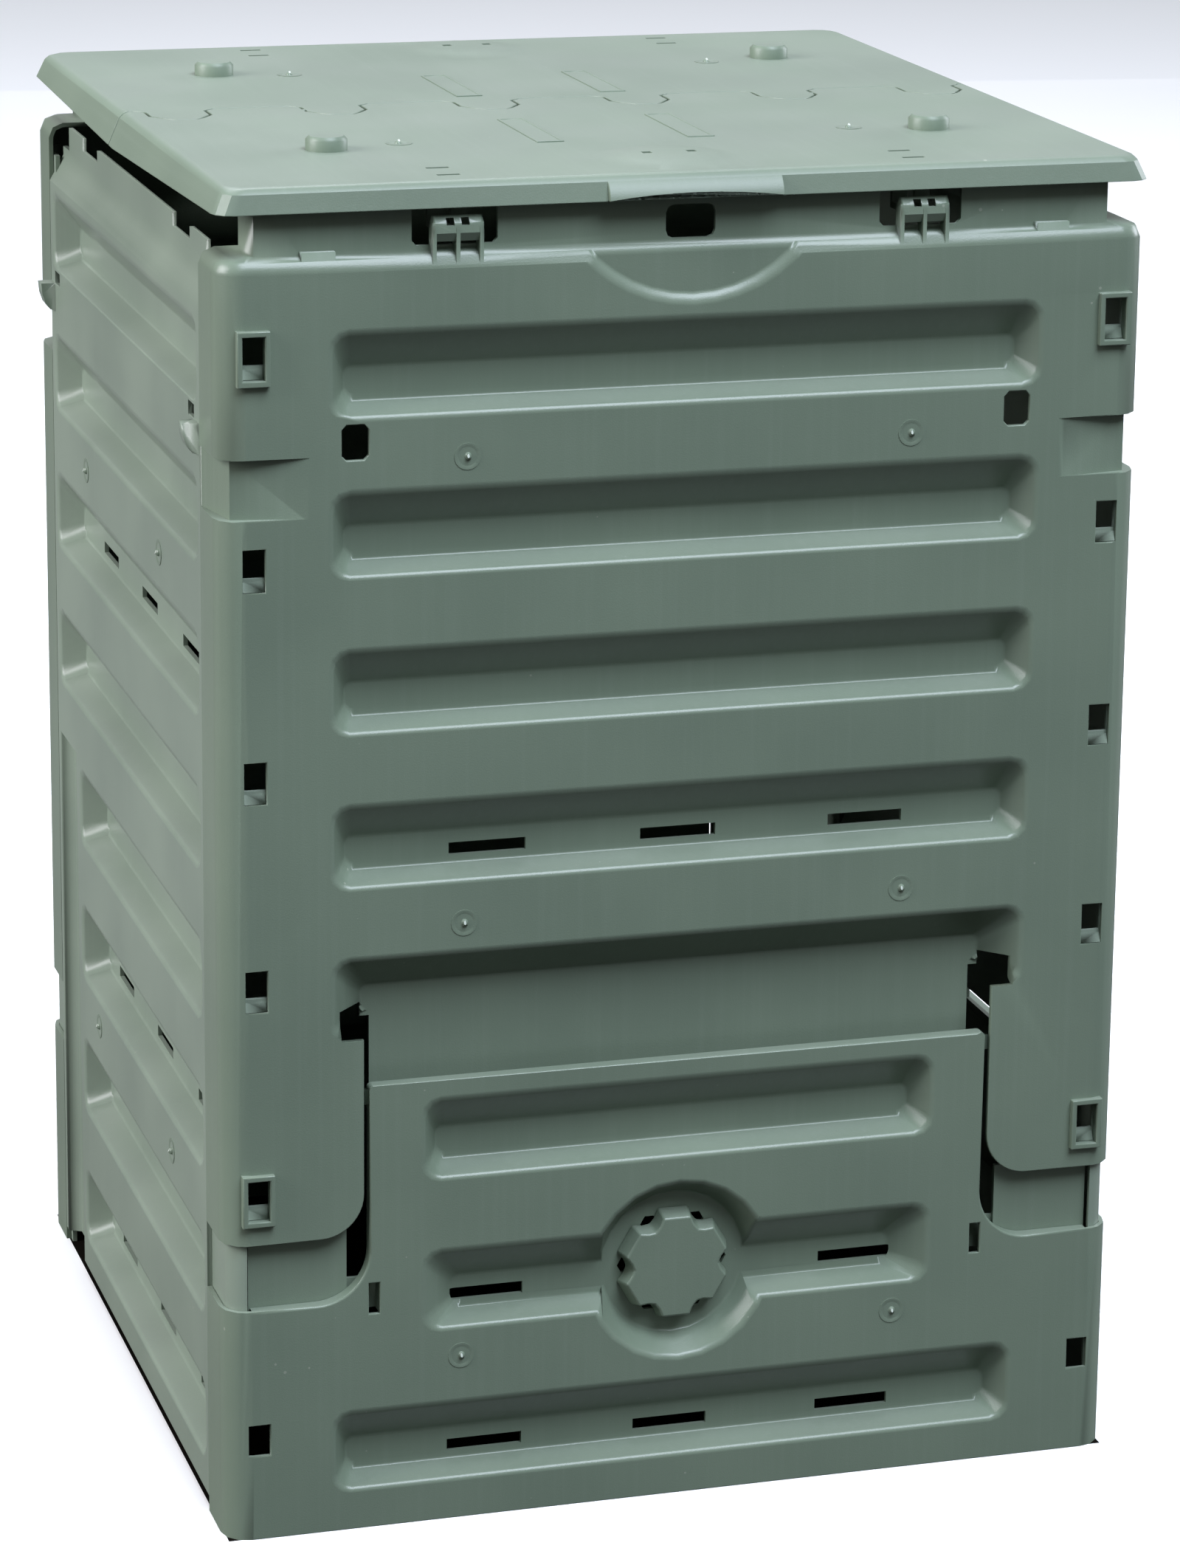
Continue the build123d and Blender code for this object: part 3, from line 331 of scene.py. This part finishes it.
WALL_FLOW_SCALE = (1 / FLOW_WIDTH, 1 / FLOW_WIDTH, 1 / FLOW_LENGTH)
wall_plastic = moulded_polypropylene("moulded_polypropylene_wall", WALL_FLOW_SCALE)
for name, side in (("front_wall", -1), ("rear_wall", 1)):
    faces = (side * FACE_OUT, side * FRAME_OUT)
    floors = (side * FLOOR_OUT, side * POCKET_OUT, side * RECESS_OUT)
    softened_copy(name, name + "_panel", WALL_BODY, wall_plastic, panel_passes(faces, floors, 1),
                  (1, side, END_DRAWN_OUT))

# Gate marks: where the melt came in, a shallow ring in the skin round a snapped-off nub gone pale.
# They stand on every moulding and are the same plastic, whitened where it broke.
GATE_RADIUS = 8.5 * MM
GATE_SINK = 0.6 * MM
GATE_PROUD = 0.35 * MM
GATE_RING = 1.6 * MM
GATE_SIDES = 24
NUB_RADIUS = 2.7 * MM
NUB_HEIGHT = 2.6 * MM
NUB_LEAN = 0.7 * MM
NUB_NECK = (0.6, 0.8, 1)
NUB_TIP = (0.45, 0.6, 1)
NUB_BREAK = radians(25)
WHITENED = "#b9c2b8"
WHITENED_ROUGHNESS = 0.65
FRONT_GATES = ((-144, 701), (144, 701), (-145, 402), (145, 402))


# Polypropylene that was bent and torn off: it turns pale and dull there
def whitened_polypropylene():
    material = bpy.data.materials.new("broken_whitened_polypropylene")
    material.use_nodes = True
    tree = material.node_tree
    tree.nodes.clear()
    shader = add_node(tree, "ShaderNodeBsdfPrincipled", {"Base Color": linear(WHITENED),
                                                         "Roughness": WHITENED_ROUGHNESS,
                                                         "IOR": PLASTIC_IOR})
    add_node(tree, "ShaderNodeOutputMaterial", {"Surface": shader.outputs["BSDF"]})
    return material


# One mark is modelled lying flat: the ring is inset from a disc, the nub drawn up and broken off askew
def model_gate():
    bpy.ops.object.select_all(action="DESELECT")
    bpy.ops.mesh.primitive_cylinder_add(vertices=GATE_SIDES, radius=GATE_RADIUS, depth=2 * GATE_PROUD)
    gate = bpy.context.active_object
    gate.data.materials.append(wall_plastic)
    gate.data.materials.append(whitened_polypropylene())
    bpy.ops.object.mode_set(mode="EDIT")
    bpy.ops.mesh.select_mode(type="FACE")
    bpy.ops.mesh.select_all(action="DESELECT")
    mesh = bmesh.from_edit_mesh(gate.data)
    for face in mesh.faces:
        face.select_set(face.normal.z > 0.9)
    bmesh.update_edit_mesh(gate.data)
    bpy.ops.mesh.inset(thickness=GATE_RING, depth=0)
    bpy.ops.mesh.inset(thickness=GATE_RING, depth=-GATE_SINK)
    bpy.ops.mesh.inset(thickness=GATE_RADIUS - 2 * GATE_RING - NUB_RADIUS, depth=0)
    gate.active_material_index = 1
    bpy.ops.object.material_slot_assign()
    bpy.ops.mesh.extrude_region_move(TRANSFORM_OT_translate={"value": (NUB_LEAN, 0, NUB_HEIGHT / 2)})
    bpy.ops.transform.resize(value=NUB_NECK)
    bpy.ops.mesh.extrude_region_move(TRANSFORM_OT_translate={"value": (-NUB_LEAN, NUB_LEAN, NUB_HEIGHT / 2)})
    bpy.ops.transform.resize(value=NUB_TIP)
    bpy.ops.transform.rotate(value=NUB_BREAK, orient_axis="X", center_override=(0, 0, NUB_HEIGHT))
    bpy.ops.object.mode_set(mode="OBJECT")
    bpy.ops.object.shade_smooth_by_angle(angle=SMOOTH_ANGLE)
    return gate


gate_model = model_gate()


def place_gates(stem, body, places, outward):
    turn = Vector(outward).to_track_quat("Z", "Y").to_matrix().to_4x4()
    for index, place in enumerate(places):
        gate = gate_model.copy()
        gate.data = gate_model.data.copy()
        gate.name = f"{stem}_gate_mark_{index + 1}"
        bpy.context.collection.objects.link(gate)
        gate.data.transform(Matrix.Translation(Vector(place)) @ turn)
        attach(gate, body)


for name, side in (("front_wall", -1), ("rear_wall", 1)):
    places = [(-side * x * MM, side * FACE_OUT, z * MM) for x, z in FRONT_GATES]
    place_gates(name, WALL_BODY, places, (0, side, 0))

# Side walls: flat moulded panels with the same grooves, hooked inside the wrapped corners.
# They are the same plastic in a paler tone, partly for scuffs and partly as a painted sheen of grazing
# light, and carry the coupling hooks for a second bin.
SLOT_LOW = 724 * MM
SLOT_HIGH = 730 * MM
SIDE_END_DRAWN_OUT = 5.5 * MM
SIDE_FLOW = 0.26
# Paler side tone: scuffed plastic, and a painted sheen of the grazing light on the side walls
SCUFF_AND_SHEEN = "#859384"
SCUFF_AND_SHEEN_DEEP = "#7a887a"
SIDE_GATES = ((126, 607), (-119, 607), (107, 212), (-140, 208))


def by_hook_slot(co):
    return SLOT_LOW < co.z < SLOT_HIGH


side_plastic = moulded_polypropylene("moulded_polypropylene_side", WALL_FLOW_SCALE, SIDE_FLOW,
                                     deep=SCUFF_AND_SHEEN_DEEP, light=SCUFF_AND_SHEEN)
for name, side in (("left_wall", -1), ("right_wall", 1)):
    softened_copy(name, name + "_panel", WALL_BODY, side_plastic,
                  panel_passes((side * FACE_OUT,), (side * FLOOR_OUT,), 0, by_hook_slot),
                  (0, side, SIDE_END_DRAWN_OUT))
for name, side in (("left_wall", -1), ("right_wall", 1)):
    places = [(side * FACE_OUT, -side * y * MM, z * MM) for y, z in SIDE_GATES]
    place_gates(name, WALL_BODY, places, (side, 0, 0))

# Flaps: the moulded hatches at the foot of the front and rear walls, lifted to take compost out.
# Same plastic; they slide behind the legs of the wall above.
HEM_LOW = 154 * MM
HEM_SLOT_X = 207 * MM
HEM_SLOT_TOP = 168 * MM
HEM_WIDTH = 1.7 * MM
HEM_SHORTEST = 1 * MM
FLAP_GATES = ((-146, 112), (146, 112))


def flap_passes(side):
    def outline(co):
        slot = abs(co.x) < HEM_SLOT_X and co.z < HEM_SLOT_TOP
        return near(co.y, side * FACE_OUT) and co.z > HEM_LOW and not slot

    def hem(edge):
        return steep(edge) and lies(edge, outline) and edge.calc_length() > HEM_SHORTEST

    lip, tight, foot, (width, steps, cut) = panel_passes((side * FACE_OUT,), (side * FLOOR_OUT,), 1)
    rim = (width, steps, lambda edge: cut(edge) and not lies(edge, outline))
    return [lip, tight, foot, (HEM_WIDTH, LIP_STEPS, hem), rim]


for name, side in (("front_flap", -1), ("rear_flap", 1)):
    softened_copy(name, name + "_panel", name + "_body", wall_plastic, flap_passes(side),
                  (1, side, END_DRAWN_OUT))
for name, side in (("front_flap", -1), ("rear_flap", 1)):
    places = [(-side * x * MM, side * FACE_OUT, z * MM) for x, z in FLAP_GATES]
    place_gates(name, name + "_body", places, (0, side, 0))

# Vent dials: six-lobed moulded knobs of the same plastic, snapped into the dish of each flap.
# Turning one slides its lobes over the air holes.
DIAL_EDGE = 1.4 * MM
DIAL_CORE = 20 * MM
DIAL_BACK_OUT = 281 * MM
DIAL_Z = 155 * MM


def dial_edge(edge):
    outer = lies(edge, lambda co: hypot(co.x, co.z - DIAL_Z) > DIAL_CORE)
    front = lies(edge, lambda co: abs(co.y) > DIAL_BACK_OUT)
    return outer and front and edge.calc_face_angle(0) > FLAT_BEND


for name in ("front", "rear"):
    softened_copy(name + "_vent_dial", name + "_dial_knob", name + "_dial_body", wall_plastic,
                  [(DIAL_EDGE, LIP_STEPS, dial_edge)])

# Lid: two moulded halves hinged across the middle, each clipped to its own wall.
# The same plastic, duller on the flat tops and paler there, with a thicker film of dust and painted sky
# sheen; the rims hang outside the collar.
LID_TOP = 871 * MM
LID_EDGE = 0.5 * MM
RIM_X = 288 * MM
RIM_Y = 285 * MM
RIM_LOW = 848 * MM
SLOT_X = 150 * MM
SLOT_REACH = 12 * MM
SLOT_ROWS = (248 * MM, 274.5 * MM)
SLOT_HALF = 5 * MM
HOLE_X = 14.5 * MM
HOLE_Y = 243 * MM
HOLE_REACH = 6 * MM
LID_SMOOTH = radians(24)
LID_ROUGHNESS = (0.36, 0.48)
# Thicker film on the lid tops: more dust and more painted sky sheen
LID_FILM = 0.14
LID_FLOW_SCALE = (1 / FLOW_WIDTH, 1 / FLOW_LENGTH, 1 / FLOW_WIDTH)
LID_GATE_X = 150 * MM
LID_GATE_Y = 152 * MM


def in_opening(co):
    slot = abs(abs(co.x) - SLOT_X) < SLOT_REACH and any(abs(abs(co.y) - y) < SLOT_HALF for y in SLOT_ROWS)
    hole = abs(abs(co.x) - HOLE_X) < HOLE_REACH and abs(abs(co.y) - HOLE_Y) < HOLE_REACH
    return slot or hole


def lid_edge(edge):
    top = lies(edge, lambda co: co.z > LID_TOP - TOUCH and not in_opening(co))
    rim = lies(edge, lambda co: co.z > RIM_LOW and (abs(co.x) > RIM_X or abs(co.y) > RIM_Y))
    return steep(edge) and (top or rim)


lid_plastic = moulded_polypropylene("moulded_polypropylene_lid", LID_FLOW_SCALE,
                                    film_most=LID_FILM, roughness=LID_ROUGHNESS)
for name in ("lid_front", "lid_rear"):
    softened_copy(name, name + "_half", name + "_body", lid_plastic, [(LID_EDGE, FOOT_STEPS, lid_edge)],
                  smooth=LID_SMOOTH)
for name, side in (("lid_front", -1), ("lid_rear", 1)):
    places = [(x, side * LID_GATE_Y, LID_TOP) for x in (-LID_GATE_X, LID_GATE_X)]
    place_gates(name, name + "_body", places, (0, 0, 1))
bpy.data.objects.remove(gate_model)

# Studio floor and sky: a wide matt floor that looks white, under a soft overcast sky.
# The floor gives little light back, as earth would, and inside the bin it is dark: earth, and painted shade
# of the closed inside.
FLOOR_SIZE = 60.0
FLOOR_SEEN = "#ffffff"
FLOOR_BOUNCE = "#262724"
# Dark earth under the bin, which also paints the shade of its closed inside
EARTH_AND_SHADE = "#14120f"
EARTH_HALF = 298 * MM
SKY_TOP = "#eaeff5"
SKY_LOW = "#e0e0dc"
SKY_TOP_LIGHT = 0.6
SKY_LOW_LIGHT = 0.08
GROUND_LIGHT = 0.02
SHEEN_SHARE = 0.12


# The white shows to the camera and through anything clear, and by a small share in the plastic's sheen
def looked_at(tree):
    rays = add_node(tree, "ShaderNodeLightPath").outputs
    sheen = add_node(tree, "ShaderNodeMath", {0: rays["Is Glossy Ray"], 1: SHEEN_SHARE},
                     operation="MULTIPLY")
    mirrored = add_node(tree, "ShaderNodeMath", {0: sheen.outputs["Value"], 1: rays["Is Transmission Ray"]},
                        operation="MAXIMUM")
    seen = add_node(tree, "ShaderNodeMath", {0: rays["Is Camera Ray"], 1: mirrored.outputs["Value"]},
                    operation="MAXIMUM")
    return seen.outputs["Value"]


bpy.ops.object.select_all(action="DESELECT")
bpy.ops.mesh.primitive_plane_add(size=FLOOR_SIZE)
floor = bpy.context.active_object
floor.name = "studio_floor"

# Matt paint: even and without sheen, dark where the bin stands open to the ground: earth, and painted shade
# inside the bin
floor_paint = bpy.data.materials.new("matt_white_floor")
floor_paint.use_nodes = True
tree = floor_paint.node_tree
tree.nodes.clear()
bounce = add_node(tree, "ShaderNodeBsdfDiffuse", {"Color": linear(FLOOR_BOUNCE)})
spot = add_node(tree, "ShaderNodeSeparateXYZ",
                {"Vector": add_node(tree, "ShaderNodeTexCoord").outputs["Object"]})
off_x = add_node(tree, "ShaderNodeMath", {0: spot.outputs["X"]}, operation="ABSOLUTE")
off_y = add_node(tree, "ShaderNodeMath", {0: spot.outputs["Y"]}, operation="ABSOLUTE")
off = add_node(tree, "ShaderNodeMath", {0: off_x.outputs["Value"], 1: off_y.outputs["Value"]},
               operation="MAXIMUM")
inside = add_node(tree, "ShaderNodeMath", {0: off.outputs["Value"], 1: EARTH_HALF}, operation="LESS_THAN")
ground = add_node(tree, "ShaderNodeMix", {"Factor": inside.outputs["Value"], "A": linear(FLOOR_SEEN),
                                          "B": linear(EARTH_AND_SHADE)}, data_type="RGBA")
seen = add_node(tree, "ShaderNodeBsdfDiffuse", {"Color": ground.outputs["Result"]})
choice = add_node(tree, "ShaderNodeMixShader", {0: looked_at(tree), 1: bounce.outputs["BSDF"],
                                                2: seen.outputs["BSDF"]})
add_node(tree, "ShaderNodeOutputMaterial", {"Surface": choice.outputs["Shader"]})
floor.data.materials.append(floor_paint)

world = bpy.data.worlds.new("overcast_sky")
world.use_nodes = True
bpy.context.scene.world = world
tree = world.node_tree
tree.nodes.clear()
height = add_node(tree, "ShaderNodeSeparateXYZ",
                  {"Vector": add_node(tree, "ShaderNodeTexCoord").outputs["Generated"]})
rise = height.outputs["Z"]
sky = add_node(tree, "ShaderNodeMix", {"Factor": rise, "A": linear(SKY_LOW), "B": linear(SKY_TOP)},
               data_type="RGBA")
level = add_node(tree, "ShaderNodeMapRange", {"Value": rise, "To Min": SKY_LOW_LIGHT,
                                              "To Max": SKY_TOP_LIGHT})
above = add_node(tree, "ShaderNodeMath", {0: rise, 1: 0.0}, operation="GREATER_THAN")
strength = add_node(tree, "ShaderNodeMapRange", {"Value": above.outputs["Value"], "To Min": GROUND_LIGHT,
                                                 "To Max": level.outputs["Result"]})
light_in = add_node(tree, "ShaderNodeBackground", {"Color": sky.outputs["Result"],
                                                   "Strength": strength.outputs["Result"]})
backdrop = add_node(tree, "ShaderNodeBackground", {"Color": linear(FLOOR_SEEN), "Strength": 1.0})
choice = add_node(tree, "ShaderNodeMixShader", {0: looked_at(tree), 1: light_in.outputs["Background"],
                                                2: backdrop.outputs["Background"]})
add_node(tree, "ShaderNodeOutputWorld", {"Surface": choice.outputs["Shader"]})


# Soft lamps: a cool one high behind the camera, one on each other side, and a weak low one behind
# the lid for its sheen. Each has its place and target in metres, its size, watts and colour.
def softbox(name, place, target, size, power, colour):
    lamp = bpy.data.lights.new(name, "AREA")
    lamp.shape = "SQUARE"
    lamp.size = size
    lamp.energy = power
    lamp.color = linear(colour)[:3]
    holder = bpy.data.objects.new(name, lamp)
    bpy.context.collection.objects.link(holder)
    holder.location = place
    holder.rotation_euler = (Vector(target) - Vector(place)).to_track_quat("-Z", "Y").to_euler()


softbox("front_softbox", (1.5, -4.0, 7.0), (0, 0, 0.3), 4.5, 840, "#e6efff")
softbox("left_softbox", (-4.5, 0.0, 2.7), (0, 0, 0.4), 3.0, 300, "#fcfaff")
softbox("rear_softbox", (0.3, 3.6, 5.6), (0, 0, 0.4), 2.5, 130, "#f2f4ff")
softbox("right_softbox", (4.6, 1.2, 1.7), (0, 0, 0.45), 2.5, 120, "#f2f4ff")
softbox("back_softbox", (0.8, 5.5, 1.9), (0, 0, 0.87), 4.0, 6, "#f2f4ff")

# Camera: where the photograph was taken from, found from the corners of the bin.
# It looks a little down on the front and left side; the shift gives the photograph's framing.
CAMERA_PLACE = (-0.9325, -3.2317, 1.3780)
CAMERA_YAW = 0.29204
CAMERA_PITCH = 0.25045
CAMERA_ROLL = 0.011424
FOCAL_PIXELS = 6884.6
CENTRE_X = 828.36
CENTRE_Y = 833.37
IMAGE_WIDTH = 1599
IMAGE_HEIGHT = 2124
SENSOR_WIDTH = 36.0

forward = Vector((sin(CAMERA_YAW) * cos(CAMERA_PITCH), cos(CAMERA_YAW) * cos(CAMERA_PITCH),
                  -sin(CAMERA_PITCH)))
across = Vector((cos(CAMERA_YAW), -sin(CAMERA_YAW), 0))
upright = across.cross(forward)
right = across * cos(CAMERA_ROLL) + upright * sin(CAMERA_ROLL)
up = upright * cos(CAMERA_ROLL) - across * sin(CAMERA_ROLL)
camera = bpy.data.cameras.new("photo_camera")
camera.sensor_width = SENSOR_WIDTH
camera.lens = FOCAL_PIXELS * SENSOR_WIDTH / IMAGE_HEIGHT
camera.shift_x = (IMAGE_WIDTH / 2 - CENTRE_X) / IMAGE_HEIGHT
camera.shift_y = (CENTRE_Y - IMAGE_HEIGHT / 2) / IMAGE_HEIGHT
camera_object = bpy.data.objects.new("photo_camera", camera)
bpy.context.collection.objects.link(camera_object)
turn = Matrix((right, up, -forward)).transposed().to_4x4()
camera_object.matrix_world = Matrix.Translation(CAMERA_PLACE) @ turn
bpy.context.scene.camera = camera_object
bpy.context.scene.view_settings.view_transform = "Standard"
